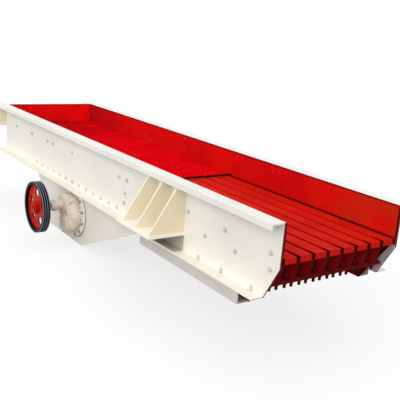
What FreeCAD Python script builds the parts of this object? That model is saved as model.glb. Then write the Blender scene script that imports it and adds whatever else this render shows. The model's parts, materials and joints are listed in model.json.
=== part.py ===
"""Vibrating grizzly feeder, millimetres.

+X points to the discharge end, +Y to the left side and +Z up. The origin lies on the
centre plane, midway between the two front spring seats, on the underside of the seats.
"""
import FreeCAD, Part
import os
import re
import Sketcher

# Driving dimensions
SIZES = {
    # trough
    "trough_width": 1300,        # between the side plates
    "trough_length": 6040,       # front edge of the side plates to the back of the rear plate
    "front_reach": 1576,         # front seat centre to the front edge
    "seat_drop": 498,            # top edge of the trough to the underside of the front seats
    "side_height": 659,          # top edge to the underside of the bottom flange
    "side_thk": 16,
    "top_flange_width": 120,
    "top_flange_thk": 14,
    "lip_height": 50,
    "lip_thk": 12,
    "bottom_flange_width": 110,
    "bottom_flange_thk": 14,
    "nose_height": 365,          # upright part of the front edge
    "nose_setback": 160,
    "tail_length": 260,          # side plates behind the rear plate, above the rear seats
    "tail_height": 310,
    "rear_plate_thk": 16,
    # floor and wear plates
    "floor_drop": 262,           # top edge to the wear face of the floor
    "floor_liner_thk": 16,
    "pan_thk": 12,
    "pan_front": 764,            # front seat centre back to the pan's front edge
    "rear_liner_thk": 12,
    "side_liner_thk": 16,
    "front_liner_drop": 10,      # front side wear plates below the top edge
    "seam_lead": 40,             # pan's front edge to the seam of the side wear plates
    "seam_gap": 2,
    "pan_beam_width": 80,
    "pan_beam_height": 120,
    "pan_beam_thk": 10,
    "pan_beam_inset": 340,       # rear plate to the first beam
    "front_pan_beam_inset": 110, # pan's front edge to the last beam
    # grizzly deck
    "bar_step": 2,               # underside of the pan to the top of the bars
    "bar_nose_setback": 8,
    "bar_tuck": 56,              # bars reaching back under the pan
    "bar_gap_rear": 20,
    "bar_gap_front": 40,
    "bar_cap_thk": 50,
    "bar_stem_thk": 36,
    "bar_stem_depth": 90,
    "bar_stem_setback": 60,      # stem behind the front end of the cap
    "bar_foot_thk": 20,
    "bar_foot_width": 112,
    "beam_toe_setback": 114,     # front edge to the toe of the front beam
    "front_beam_depth": 124,
    "front_beam_width": 130,
    "front_beam_thk": 16,
    "foot_play": 4,
    "mid_beam_x": 376,
    "rear_beam_back": 36,        # pan's front edge back to the beam's middle
    "rear_beam_height": 90,
    "box_beam_width": 110,
    "mid_beam_height": 120,
    "box_beam_thk": 10,
    "cheek_thk": 16,
    "cheek_gap": 3,
    "rail_height": 103,
    "rail_inset": 8,
    "rail_thk": 10,
    "rail_front_setback": 330,
    "bar_bolt_radius": 13,
    "bar_bolt_head": 20,         # half the width across corners
    "bar_bolt_head_thk": 15,
    "bar_bolt_offset": 36,       # bar's centre line to each bolt
    "bar_nut_thk": 28,
    "bar_bolt_tail": 60,
    "hole_play": 1,
    # spring seats
    "seat_length": 608,
    "seat_width": 374,
    "seat_thk": 30,
    "seat_hole_radius": 17,
    "seat_rib_thk": 18,
    "seat_rib_edge": 14,         # seat's front edge to the middle of the first rib
    "seat_rib_tail": 114,        # seat's rear edge to the middle of the last rib
    "seat_rib_toe": 20,
    "seat_rib_margin": 10,
    "cup_radius": 76,
    "cup_wall": 14,
    "cup_height": 40,
    "rear_seat_thk": 24,
    # exciter
    "exciter_x": -2050,
    "exciter_headroom": 12,      # underside of the bottom flange to the housing rings
    "throw_angle": 20,           # throw line above the horizontal, degrees
    "exciter_plate_thk": 20,
    "exciter_plate_lap": 100,    # height of the lap on the side plate
    "exciter_plate_rear": 1255,  # exciter's axis back to the plate's rear corner
    "exciter_plate_gap": 80,     # plate's front tip to the grizzly cheek
    "exciter_plate_tip": 20,
    "exciter_foot_rear": 778,    # exciter's axis to the ends of the plate's lower edge
    "exciter_foot_front": 180,
    "exciter_foot_drop": 74,     # housing ring to the plate's lower edge
    "plate_bolt_radius": 12,
    "plate_bolt_head": 20,
    "plate_bolt_head_thk": 14,
    "plate_bolt_rise": 67,       # above the underside of the bottom flange
    "plate_bolt_pitch": 190,
    "plate_bolt_edge": 48,
    "tube_clearance": 4,         # gear tips to the inside of the tube
    "tube_wall": 14,
    "housing_ring_width": 60,
    "housing_ring_thk": 25,
    "housing_ring_round": 6,
    "drum_wall": 28,             # bearing seats to the outside of the drum
    "drum_length": 30,
    "neck_taper": 85,            # drum to the small end of the neck
    "neck_length": 70,
    "block_length": 127,         # housing ring to the end of the bearing block
    "block_wall": 38,            # bearing seats to the outside of the bearing block
    "block_waist": 10,
    "spigot_play": 0.5,
    "gusset_thk": 14,
    "gusset_height": 26,         # above the drum, at the ring
    "gusset_tip": 45,            # above the small end of the neck
    "ring_bolt_inset": 36,       # drum to the bolt circle
    "ring_bolt_radius": 10,
    "ring_bolt_head": 18,
    "ring_bolt_head_thk": 14,
    "bearing_radius": 85,
    "bearing_land": 27,          # half the wall between the two bearing seats
    "bearing_width": 58,
    "bearing_ring_wall": 17,
    "bearing_gap": 0.3,
    "cover_spigot": 60,
    "cover_flange": 25,
    "cover_thk": 18,
    "cover_rim": 30,             # flat rim round the raised middle of a blind cover
    "cover_raise": 10,
    "cover_play": 0.5,
    "bearing_shoulder": 15,
    "boss_radius": 54,
    "boss_length": 70,
    "boss_collar_length": 32,
    "boss_collar_height": 8,
    "seal_play": 1,
    # eccentric shafts and gears
    "pressure_angle": 20,
    "gear_width": 60,
    "gear_inset": 90,            # left support plate to the gears
    "gear_backlash": 0.6,
    "shaft_radius": 40,
    "collar_radius": 50,
    "eccentric_clearance": 6,    # half the gap where both eccentrics pass each other
    "eccentricity": 30,
    "gear_space": 40,            # eccentric part to the gear
    "eccentric_end": 70,         # right support plate to the eccentric part
    "shaft_end_play": 6,
    # belt pulley
    "pulley_radius": 300,
    "pulley_standoff": 180,      # boss to the back of the pulley
    "groove_wall": 3.5,
    "groove_land": 6.75,         # outer groove to the face of the rim
    "groove_half_width": 11,
    "groove_root_half_width": 6,
    "groove_depth": 20,
    "rim_thk": 36,
    "web_thk": 18,
    "web_recess": 34,
    "web_hole_radius": 46,
    "hub_radius": 78,
    "pulley_bore": 36,           # radius
    "key_width": 20,
    "key_height": 12,
    "key_depth": 7,
    "end_plate_radius": 56,
    "end_plate_thk": 14,
    "end_bolt_head": 22,
    "end_bolt_head_thk": 15,
}

BAR_COUNT = 8
PAN_BEAM_COUNT = 5
PLATE_BOLT_COUNT = 13
RING_BOLT_COUNT = 12
GUSSET_COUNT = 6
WEB_HOLE_COUNT = 5
GROOVE_COUNT = 3
GEAR_TEETH = 28
SEAT_RIB_COUNT = 3

# Places worked out from the driving dimensions
TOP = "seat_drop"
BOTTOM = "(seat_drop - side_height)"
FRONT = "front_reach"
REAR = "(front_reach - trough_length)"
TAIL = "(front_reach - trough_length - tail_length)"
INNER = "(trough_width / 2)"
OUTER = "(trough_width / 2 + side_thk)"
FLOOR = "(seat_drop - floor_drop)"
PAN_TOP = "(seat_drop - floor_drop - floor_liner_thk)"
PAN_BOTTOM = "(seat_drop - floor_drop - floor_liner_thk - pan_thk)"
PAN_REAR = "(front_reach - trough_length + rear_plate_thk)"
PAN_FRONT = "(-pan_front)"
LINER_REAR = "(front_reach - trough_length + rear_plate_thk + rear_liner_thk)"
SEAM = "(-pan_front + seam_lead)"
DECK = "(seat_drop - floor_drop - floor_liner_thk - pan_thk - bar_step)"
BAR_FRONT = "(front_reach - bar_nose_setback)"
BAR_REAR = "(-pan_front - bar_tuck)"
CAP_BOTTOM = f"({DECK} - bar_cap_thk)"
STEM_BOTTOM = f"({DECK} - bar_cap_thk - bar_stem_depth)"
BEAM_TOE = "(front_reach - beam_toe_setback)"
BEAM_HEEL = "(front_reach - beam_toe_setback - front_beam_width)"
BEAM_BOTTOM = f"({STEM_BOTTOM} - front_beam_depth)"
BEAM_LEDGE = f"({STEM_BOTTOM} - front_beam_depth + front_beam_thk)"
FOOT_TOP = f"({BEAM_LEDGE} + bar_foot_thk)"
FOOT_REAR = f"({BEAM_HEEL} + front_beam_thk + foot_play)"
FOOT_FRONT = f"({BEAM_TOE} - foot_play)"
BAR_PITCH = f"((trough_width - 2 * side_liner_thk) / {BAR_COUNT})"
CHEEK_TOP = f"({DECK} + cheek_gap)"
CHEEK_REAR = "(-seat_length / 2)"
CHEEK_FOOT = "(front_reach - rail_front_setback)"
CHEEK_INNER = "(trough_width / 2 - cheek_thk)"
RAIL_BOTTOM = "(seat_drop - side_height - rail_height)"
SEAT_OUTER = "(trough_width / 2 + side_thk + seat_width)"
SEAT_HOLE = "(trough_width / 2 + side_thk + seat_width / 2)"
LIP_INNER = "(trough_width / 2 + side_thk + top_flange_width - lip_thk)"
REAR_SEAT = "(seat_drop - tail_height)"
PLATE_INNER = "(trough_width / 2 - exciter_plate_thk)"
PITCH_RADIUS = "(bearing_radius + bearing_land)"
MODULE = f"(2 * {PITCH_RADIUS} / {GEAR_TEETH})"
DRUM_RADIUS = f"({PITCH_RADIUS} + bearing_radius + drum_wall)"
RING_RADIUS = f"({DRUM_RADIUS} + housing_ring_width)"
RING_FACE = "(trough_width / 2 + housing_ring_thk)"
TUBE_INNER = f"(2 * {PITCH_RADIUS} + {MODULE} + tube_clearance)"
EXCITER_Z = f"({BOTTOM} - exciter_headroom - {RING_RADIUS})"
PLATE_REAR = "(exciter_x - exciter_plate_rear)"
PLATE_TIP = f"({CHEEK_REAR} - exciter_plate_gap)"
NECK_RADIUS = f"({DRUM_RADIUS} - neck_taper)"
DRUM_END = f"({RING_FACE} + drum_length)"
NECK_END = f"({RING_FACE} + drum_length + neck_length)"
BLOCK_END = f"({RING_FACE} + block_length)"
BLOCK_RADIUS = "(bearing_radius + block_wall)"
BEARING_END = f"({BLOCK_END} - cover_spigot)"
BEARING_START = f"({BLOCK_END} - cover_spigot - bearing_width)"
BOSS_END = f"({BLOCK_END} + cover_thk + boss_length)"
PULLEY_BACK = f"({BOSS_END} + pulley_standoff)"
GROOVE_PITCH = "(2 * groove_half_width + groove_wall)"
PULLEY_WIDTH = f"({GROOVE_COUNT - 1} * {GROOVE_PITCH} + 2 * groove_half_width + 2 * groove_land)"
PULLEY_FACE = f"({PULLEY_BACK} + {PULLEY_WIDTH})"
DRIVE_X = f"(exciter_x - sin(throw_angle) * {PITCH_RADIUS})"
DRIVE_Z = f"({EXCITER_Z} + cos(throw_angle) * {PITCH_RADIUS})"
DRIVEN_X = f"(exciter_x + sin(throw_angle) * {PITCH_RADIUS})"
DRIVEN_Z = f"({EXCITER_Z} - cos(throw_angle) * {PITCH_RADIUS})"

SIDES = {"right": -1, "left": 1}
PLANE_NORMAL = {"XY": 1, "XZ": -1, "YZ": 1}

doc = FreeCAD.newDocument("vibrating_grizzly_feeder")
sheet = doc.addObject("Spreadsheet::Sheet", "Sizes")
for row, (alias, size) in enumerate(SIZES.items(), start=1):
    sheet.set(f"A{row}", alias)
    sheet.set(f"B{row}", str(size))
    sheet.setAlias(f"B{row}", alias)
doc.recompute()


# Sketches and features bound to the sheet
def bound(expression):
    """Put the sheet's name in front of every size in an expression."""
    return re.sub(
        r"[a-z_]+",
        lambda word: "Sizes." + word.group() if word.group() in SIZES else word.group(),
        str(expression),
    )


def value(expression):
    return float(sheet.evalExpression(bound(expression)))


def new_body(name, several=False):
    body = doc.addObject("PartDesign::Body", name)
    body.Label = name
    body.AllowCompound = several
    return body


def place(body, x="0", y="0", z="0", turn=None):
    """Bind a body's place, and its turn about its own Y axis in degrees."""
    if turn is not None:
        body.Placement = FreeCAD.Placement(
            FreeCAD.Vector(), FreeCAD.Rotation(FreeCAD.Vector(0, 1, 0), value(turn)))
        body.setExpression("Placement.Rotation.Angle", bound(turn))
    body.setExpression("Placement.Base.x", bound(x))
    body.setExpression("Placement.Base.y", bound(y))
    body.setExpression("Placement.Base.z", bound(z))


def new_sketch(body, plane, level="0"):
    """A sketch on one of the body's own planes, raised to a level along that plane's axis."""
    support = next(part for part in body.Origin.OriginFeatures if part.Role == plane + "_Plane")
    sketch = body.newObject("Sketcher::SketchObject", body.Name + "_sketch")
    sketch.AttachmentSupport = [(support, "")]
    sketch.MapMode = "FlatFace"
    sketch.setExpression("AttachmentOffset.Base.z", bound(f"{PLANE_NORMAL[plane]} * ({level})"))
    return sketch


def pin_point(sketch, edge, end, x, y):
    for kind, expression in (("DistanceX", x), ("DistanceY", y)):
        index = sketch.addConstraint(Sketcher.Constraint(kind, edge, end, value(expression)))
        sketch.setExpression(f"Constraints[{index}]", bound(expression))


def add_loop(sketch, loop):
    """Draw a circle from (x, y, radius), or a polygon from a list of (x, y) corners."""
    first = sketch.GeometryCount
    if isinstance(loop, tuple):
        x, y, radius = loop
        centre = FreeCAD.Vector(value(x), value(y), 0)
        sketch.addGeometry(Part.Circle(centre, FreeCAD.Vector(0, 0, 1), value(radius)))
        pin_point(sketch, first, 3, x, y)
        index = sketch.addConstraint(Sketcher.Constraint("Radius", first, value(radius)))
        sketch.setExpression(f"Constraints[{index}]", bound(radius))
        return
    points = [FreeCAD.Vector(value(x), value(y), 0) for x, y in loop]
    ends = points[1:] + points[:1]
    sketch.addGeometry([Part.LineSegment(start, end) for start, end in zip(points, ends)])
    for step in range(len(loop)):
        following = first + (step + 1) % len(loop)
        sketch.addConstraint(Sketcher.Constraint("Coincident", first + step, 2, following, 1))
    for step, (x, y) in enumerate(loop):
        pin_point(sketch, first + step, 1, x, y)


def box_loop(x_low, y_low, x_high, y_high):
    return [(x_low, y_low), (x_high, y_low), (x_high, y_high), (x_low, y_high)]


def hex_loop(x, y, radius):
    corners = range(0, 360, 60)
    return [(f"{x} + {radius} * cos({turn})", f"{y} + {radius} * sin({turn})") for turn in corners]


def feature(body, kind, plane, loops, start, length):
    """Pad or pocket some loops from start, along the plane's positive axis, over length."""
    sketch = new_sketch(body, plane, start)
    for loop in loops:
        add_loop(sketch, loop)
    result = body.newObject("PartDesign::" + kind, body.Name + "_" + kind.lower())
    result.Profile = sketch
    result.setExpression("Length", bound(length))
    result.Reversed = (PLANE_NORMAL[plane] < 0) == (kind == "Pad")
    return result


def pad(body, plane, loops, start, length):
    return feature(body, "Pad", plane, loops, start, length)


def pocket(body, plane, loops, start, length):
    return feature(body, "Pocket", plane, loops, start, length)


def mirrored_start(side, low, high):
    """The lower Y of a piece that lies between two distances from the centre plane."""
    return f"({low})" if side > 0 else f"(-({high}))"


def side_pad(body, side, loops, low, high):
    return pad(body, "XZ", loops, mirrored_start(side, low, high), f"({high}) - ({low})")


def side_pocket(body, side, loops, low, high):
    return pocket(body, "XZ", loops, mirrored_start(side, low, high), f"({high}) - ({low})")


def turned(body, corners):
    """Revolve (radius, y) corners about the body's own Y axis."""
    sketch = new_sketch(body, "XY")
    add_loop(sketch, corners)
    result = body.newObject("PartDesign::Revolution", body.Name + "_revolution")
    result.Profile = sketch
    result.ReferenceAxis = (sketch, ["V_Axis"])
    result.Angle = 360
    return result


def polar(body, original, count):
    """Repeat a feature round the body's own Y axis."""
    axis = next(part for part in body.Origin.OriginFeatures if part.Role == "Y_Axis")
    pattern = body.newObject("PartDesign::PolarPattern", body.Name + "_pattern")
    pattern.Originals = [original]
    pattern.Axis = (axis, [""])
    pattern.Angle = 360
    pattern.Occurrences = count
    body.Tip = pattern
    return pattern


def plate_bolt_places():
    """Bolts of an exciter support plate, in a row along the bottom of the side plate."""
    height = f"({BOTTOM} + plate_bolt_rise)"
    return [(f"({PLATE_REAR} + plate_bolt_edge + {step} * plate_bolt_pitch)", height)
            for step in range(PLATE_BOLT_COUNT)]


def ring_bolt_places():
    """Bolts of an end housing's ring, about the exciter's axis."""
    circle = f"({DRUM_RADIUS} + ring_bolt_inset)"
    turns = [(step + 0.5) * 360 / RING_BOLT_COUNT for step in range(RING_BOLT_COUNT)]
    return [(f"{circle} * cos({turn})", f"{circle} * sin({turn})") for turn in turns]


def bar_centre(number):
    return f"({number - 1 - (BAR_COUNT - 1) / 2} * {BAR_PITCH})"


def bar_bolt_places():
    """Two hold-down bolts at the front foot of every bar."""
    x = f"(({FOOT_REAR} + {FOOT_FRONT}) / 2)"
    return [(x, f"({bar_centre(number)} + {sign} * bar_bolt_offset)")
            for number in range(1, BAR_COUNT + 1) for sign in (-1, 1)]


# Trough
def side_plate(name, side):
    """Folded C section with top flange, lip and bottom flange; cut back at the nose and tail."""
    body = new_body(name)
    outer = "(trough_width / 2 + side_thk + top_flange_width)"
    base = "(trough_width / 2 + side_thk + bottom_flange_width)"
    section = [
        (INNER, TOP), (outer, TOP), (outer, f"{TOP} - lip_height"),
        (LIP_INNER, f"{TOP} - lip_height"), (LIP_INNER, f"{TOP} - top_flange_thk"),
        (OUTER, f"{TOP} - top_flange_thk"), (OUTER, f"{BOTTOM} + bottom_flange_thk"),
        (base, f"{BOTTOM} + bottom_flange_thk"), (base, BOTTOM), (INNER, BOTTOM),
    ]
    profile = [(f"{side} * ({y})", z) for y, z in section]
    pad(body, "YZ", [profile], TAIL, f"{FRONT} - {TAIL}")
    nose = [(FRONT, f"{TOP} - nose_height"), (FRONT, BOTTOM), (f"{FRONT} - nose_setback", BOTTOM)]
    under_tail = box_loop(TAIL, BOTTOM, REAR, f"{TOP} - tail_height")
    holes = [(x, z, "plate_bolt_radius + hole_play") for x, z in plate_bolt_places()]
    side_pocket(body, side, [nose, under_tail], INNER, base)
    side_pocket(body, side, holes, INNER, OUTER)
    return body


def trough_plate(name, x_low, x_high, y_half, z_low, z_high):
    """A flat plate across the trough."""
    body = new_body(name)
    loop = box_loop(x_low, f"-{y_half}", x_high, y_half)
    pad(body, "XY", [loop], z_low, f"{z_high} - {z_low}")
    return body


def side_liner(name, side, x_low, x_high, z_low, z_high):
    body = new_body(name)
    loop = box_loop(x_low, z_low, x_high, z_high)
    side_pad(body, side, [loop], f"{INNER} - side_liner_thk", INNER)
    return body


def pan_beam(name, number):
    """A channel on edge under the pan, open to the front."""
    first = f"({PAN_REAR} + pan_beam_inset)"
    last = f"({PAN_FRONT} - front_pan_beam_inset - pan_beam_width)"
    x = f"({first} + {number - 1} * ({last} - {first}) / {PAN_BEAM_COUNT - 1})"
    far = f"({x} + pan_beam_width)"
    foot = f"({PAN_BOTTOM} - pan_beam_height)"
    section = [
        (x, foot), (far, foot), (far, f"{foot} + pan_beam_thk"),
        (f"{x} + pan_beam_thk", f"{foot} + pan_beam_thk"),
        (f"{x} + pan_beam_thk", f"{PAN_BOTTOM} - pan_beam_thk"),
        (far, f"{PAN_BOTTOM} - pan_beam_thk"), (far, PAN_BOTTOM), (x, PAN_BOTTOM),
    ]
    body = new_body(name)
    pad(body, "XZ", [section], f"-{INNER}", "trough_width")
    return body


# Grizzly deck
def grizzly_bar(name, number):
    """A T bar that narrows to the front, with a leg and a bolted foot on the front beam."""
    body = new_body(name)
    centre = bar_centre(number)
    rear_half = f"(({BAR_PITCH} - bar_gap_rear) / 2)"
    front_half = f"(({BAR_PITCH} - bar_gap_front) / 2)"
    cap = [
        (BAR_REAR, f"{centre} - {rear_half}"), (BAR_FRONT, f"{centre} - {front_half}"),
        (BAR_FRONT, f"{centre} + {front_half}"), (BAR_REAR, f"{centre} + {rear_half}"),
    ]
    pad(body, "XY", [cap], CAP_BOTTOM, "bar_cap_thk")
    stem_front = f"({BAR_FRONT} - bar_stem_setback)"
    stem = [
        (BAR_REAR, CAP_BOTTOM), (BAR_REAR, STEM_BOTTOM), (FOOT_REAR, STEM_BOTTOM),
        (FOOT_REAR, FOOT_TOP), (FOOT_FRONT, FOOT_TOP), (stem_front, CAP_BOTTOM),
    ]
    pad(body, "XZ", [stem], f"{centre} - bar_stem_thk / 2", "bar_stem_thk")
    foot = box_loop(FOOT_REAR, f"{centre} - bar_foot_width / 2",
                    FOOT_FRONT, f"{centre} + bar_foot_width / 2")
    own_bolts = bar_bolt_places()[2 * number - 2:2 * number]
    holes = [(x, y, "bar_bolt_radius + hole_play") for x, y in own_bolts]
    pad(body, "XY", [foot] + holes, BEAM_LEDGE, "bar_foot_thk")
    return body


def front_beam(name):
    """An angle: the bars' feet are bolted to its ledge, and its upright carries their stems."""
    body = new_body(name)
    section = [
        (BEAM_HEEL, BEAM_BOTTOM), (BEAM_TOE, BEAM_BOTTOM), (BEAM_TOE, BEAM_LEDGE),
        (f"{BEAM_HEEL} + front_beam_thk", BEAM_LEDGE),
        (f"{BEAM_HEEL} + front_beam_thk", STEM_BOTTOM), (BEAM_HEEL, STEM_BOTTOM),
    ]
    pad(body, "XZ", [section], f"-{CHEEK_INNER}", f"2 * {CHEEK_INNER}")
    holes = [(x, y, "bar_bolt_radius + hole_play") for x, y in bar_bolt_places()]
    pocket(body, "XY", holes, BEAM_BOTTOM, "front_beam_thk")
    return body


def box_beam(name, x, y_half, height):
    """A box section across the deck, under the stems of the bars."""
    body = new_body(name)
    low_x = f"({x} - box_beam_width / 2)"
    high_x = f"({x} + box_beam_width / 2)"
    low_z = f"({STEM_BOTTOM} - {height})"
    outline = box_loop(low_x, low_z, high_x, STEM_BOTTOM)
    hollow = box_loop(f"{low_x} + box_beam_thk", f"{low_z} + box_beam_thk",
                      f"{high_x} - box_beam_thk", f"{STEM_BOTTOM} - box_beam_thk")
    pad(body, "XZ", [outline, hollow], f"-{y_half}", f"2 * {y_half}")
    return body


def cheek(name, side):
    """A deep plate inside the side plate that carries the deck's cross beams."""
    body = new_body(name)
    outline = [
        (CHEEK_REAR, RAIL_BOTTOM), (CHEEK_FOOT, RAIL_BOTTOM),
        (BAR_FRONT, f"{CHEEK_TOP} - cheek_thk"), (BAR_FRONT, CHEEK_TOP), (CHEEK_REAR, CHEEK_TOP),
    ]
    side_pad(body, side, [outline], CHEEK_INNER, INNER)
    return body


def rail(name, side):
    """A channel under the bottom flange, closed on the inside by the cheek."""
    body = new_body(name)
    outer = "(trough_width / 2 + side_thk + bottom_flange_width - rail_inset)"
    section = [
        (INNER, BOTTOM), (outer, BOTTOM), (outer, RAIL_BOTTOM), (INNER, RAIL_BOTTOM),
        (INNER, f"{RAIL_BOTTOM} + rail_thk"), (f"{outer} - rail_thk", f"{RAIL_BOTTOM} + rail_thk"),
        (f"{outer} - rail_thk", f"{BOTTOM} - rail_thk"), (INNER, f"{BOTTOM} - rail_thk"),
    ]
    profile = [(f"{side} * ({y})", z) for y, z in section]
    pad(body, "YZ", [profile], CHEEK_REAR, f"{CHEEK_FOOT} - {CHEEK_REAR}")
    return body


def bar_bolts(name):
    body = new_body(name, several=True)
    heads = [hex_loop(x, y, "bar_bolt_head") for x, y in bar_bolt_places()]
    shanks = [(x, y, "bar_bolt_radius") for x, y in bar_bolt_places()]
    pad(body, "XY", heads, FOOT_TOP, "bar_bolt_head_thk")
    tip = f"({BEAM_BOTTOM} - bar_bolt_tail)"
    pad(body, "XY", shanks, tip, f"{FOOT_TOP} - {tip}")
    return body


def bar_nuts(name):
    body = new_body(name, several=True)
    loops = []
    for x, y in bar_bolt_places():
        loops += [hex_loop(x, y, "bar_bolt_head"), (x, y, "bar_bolt_radius")]
    pad(body, "XY", loops, f"{BEAM_BOTTOM} - bar_nut_thk", "bar_nut_thk")
    return body


# Spring seats
def spring_seat(name, side, x_low, x_high, underside, thickness):
    """A seat plate with a centre hole and the welded cup that keeps the spring in place."""
    body = new_body(name)
    x_mid = f"(({x_low} + {x_high}) / 2)"
    y_mid = f"({side} * {SEAT_HOLE})"
    outline = box_loop(x_low, f"{side} * {OUTER}", x_high, f"{side} * {SEAT_OUTER}")
    pad(body, "XY", [outline, (x_mid, y_mid, "seat_hole_radius")], underside, thickness)
    cup = [(x_mid, y_mid, "cup_radius"), (x_mid, y_mid, "cup_radius - cup_wall")]
    pad(body, "XY", cup, f"{underside} - cup_height", "cup_height")
    return body


def seat_ribs(name, side, middles, seat_top):
    """Triangular ribs from under the top flange to the edge of the seat."""
    body = new_body(name, several=True)
    toe = f"({SEAT_OUTER} - seat_rib_margin)"
    outline = [
        (OUTER, seat_top), (toe, seat_top), (toe, f"{seat_top} + seat_rib_toe"),
        (LIP_INNER, f"{TOP} - lip_height"), (LIP_INNER, f"{TOP} - top_flange_thk"),
        (OUTER, f"{TOP} - top_flange_thk"),
    ]
    profile = [(f"{side} * ({y})", z) for y, z in outline]
    for middle in middles:
        pad(body, "YZ", [profile], f"{middle} - seat_rib_thk / 2", "seat_rib_thk")
    return body


# Exciter
def exciter_plate(name, side):
    """A support plate bolted inside the side plate, with the seat of an end housing."""
    body = new_body(name)
    top = f"({BOTTOM} + exciter_plate_lap)"
    foot = f"({EXCITER_Z} - {RING_RADIUS} - exciter_foot_drop)"
    lap_front = f"({plate_bolt_places()[-1][0]} + plate_bolt_edge)"
    outline = [
        (PLATE_REAR, top), (PLATE_REAR, BOTTOM), ("exciter_x - exciter_foot_rear", foot),
        ("exciter_x + exciter_foot_front", foot), (PLATE_TIP, f"{BOTTOM} - exciter_plate_tip"),
        (PLATE_TIP, BOTTOM), (lap_front, BOTTOM), (lap_front, top),
    ]
    holes = [(x, z, "plate_bolt_radius + hole_play") for x, z in plate_bolt_places()]
    holes.append(("exciter_x", EXCITER_Z, f"{DRUM_RADIUS} + spigot_play"))
    for x, z in ring_bolt_places():
        holes.append((f"exciter_x + {x}", f"{EXCITER_Z} + {z}", "ring_bolt_radius"))
    side_pad(body, side, [outline] + holes, PLATE_INNER, INNER)
    return body


def plate_bolts(name):
    """Bolts with nuts through both side plates and their exciter support plates."""
    body = new_body(name, several=True)
    heads = [hex_loop(x, z, "plate_bolt_head") for x, z in plate_bolt_places()]
    shanks = [(x, z, "plate_bolt_radius") for x, z in plate_bolt_places()]
    for side in SIDES.values():
        side_pad(body, side, shanks, PLATE_INNER, OUTER)
        side_pad(body, side, heads, OUTER, f"{OUTER} + plate_bolt_head_thk")
        side_pad(body, side, heads, f"{PLATE_INNER} - plate_bolt_head_thk", PLATE_INNER)
    return body


def exciter_tube(name):
    body = new_body(name)
    place(body, x="exciter_x", z=EXCITER_Z)
    turned(body, box_loop(TUBE_INNER, f"-{PLATE_INNER}", f"{TUBE_INNER} + tube_wall", PLATE_INNER))
    return body


def shaft_offsets():
    """Both shaft axes, about the exciter's axis."""
    along_x = f"sin(throw_angle) * {PITCH_RADIUS}"
    along_z = f"cos(throw_angle) * {PITCH_RADIUS}"
    return [(f"-{along_x}", along_z), (along_x, f"-{along_z}")]


def block_waist_loop():
    """The straight middle of a bearing block, along the line through both shaft axes."""
    half = f"({BLOCK_RADIUS} - block_waist)"
    across_x = f"cos(throw_angle) * {half}"
    across_z = f"sin(throw_angle) * {half}"
    (upper_x, upper_z), (lower_x, lower_z) = shaft_offsets()
    return [
        (f"{upper_x} - {across_x}", f"{upper_z} - {across_z}"),
        (f"{lower_x} - {across_x}", f"{lower_z} - {across_z}"),
        (f"{lower_x} + {across_x}", f"{lower_z} + {across_z}"),
        (f"{upper_x} + {across_x}", f"{upper_z} + {across_z}"),
    ]


def end_housing(name, side):
    """A casting: bolted ring, drum, neck with fins, and the block that holds both bearings."""
    body = new_body(name)
    place(body, x="exciter_x", z=EXCITER_Z)
    section = [
        ("0", PLATE_INNER), (DRUM_RADIUS, PLATE_INNER), (DRUM_RADIUS, INNER), (RING_RADIUS, INNER),
        (RING_RADIUS, f"{RING_FACE} - housing_ring_round"),
        (f"{RING_RADIUS} - housing_ring_round", RING_FACE), (DRUM_RADIUS, RING_FACE),
        (DRUM_RADIUS, DRUM_END), (NECK_RADIUS, NECK_END), ("0", NECK_END),
    ]
    turned(body, [(radius, f"{side} * ({y})") for radius, y in section])
    wedge = [
        (f"{NECK_RADIUS} - gusset_thk", f"{side} * {RING_FACE}"),
        (f"{DRUM_RADIUS} + gusset_height", f"{side} * {RING_FACE}"),
        (f"{NECK_RADIUS} + gusset_tip", f"{side} * {NECK_END}"),
        (f"{NECK_RADIUS} - gusset_thk", f"{side} * {NECK_END}"),
    ]
    gusset = pad(body, "XY", [wedge], "-gusset_thk / 2", "gusset_thk")
    polar(body, gusset, GUSSET_COUNT)
    lobes = [(x, z, BLOCK_RADIUS) for x, z in shaft_offsets()]
    side_pad(body, side, lobes, RING_FACE, BLOCK_END)
    side_pad(body, side, [block_waist_loop()], RING_FACE, BLOCK_END)
    seats = [(x, z, "bearing_radius") for x, z in shaft_offsets()]
    passages = [(x, z, "bearing_radius - bearing_shoulder") for x, z in shaft_offsets()]
    holes = [(x, z, "ring_bolt_radius + hole_play") for x, z in ring_bolt_places()]
    side_pocket(body, side, seats, BEARING_START, BLOCK_END)
    side_pocket(body, side, passages, PLATE_INNER, BEARING_START)
    side_pocket(body, side, holes, INNER, RING_FACE)
    return body


def ring_bolts(name):
    """Screws of both end housings, tapped into the support plates."""
    body = new_body(name, several=True)
    place(body, x="exciter_x", z=EXCITER_Z)
    heads = [hex_loop(x, z, "ring_bolt_head") for x, z in ring_bolt_places()]
    shanks = [(x, z, "ring_bolt_radius") for x, z in ring_bolt_places()]
    for side in SIDES.values():
        side_pad(body, side, shanks, PLATE_INNER, RING_FACE)
        side_pad(body, side, heads, RING_FACE, f"{RING_FACE} + ring_bolt_head_thk")
    return body


def bearing_outer_rings(name):
    body = new_body(name, several=True)
    place(body, x="exciter_x", z=EXCITER_Z)
    rings = []
    for x, z in shaft_offsets():
        rings += [(x, z, "bearing_radius"), (x, z, "bearing_radius - bearing_ring_wall")]
    for side in SIDES.values():
        side_pad(body, side, rings, BEARING_START, BEARING_END)
    return body


def bearing_inner_rings(name, x, z):
    """Inner rings with their roller sets, one at each end of a shaft."""
    body = new_body(name, several=True)
    place(body, x=x, z=z)
    loops = [("0", "0", "bearing_radius - bearing_ring_wall - bearing_gap"), ("0", "0", "shaft_radius")]
    for side in SIDES.values():
        side_pad(body, side, loops, BEARING_START, BEARING_END)
    return body


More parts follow.
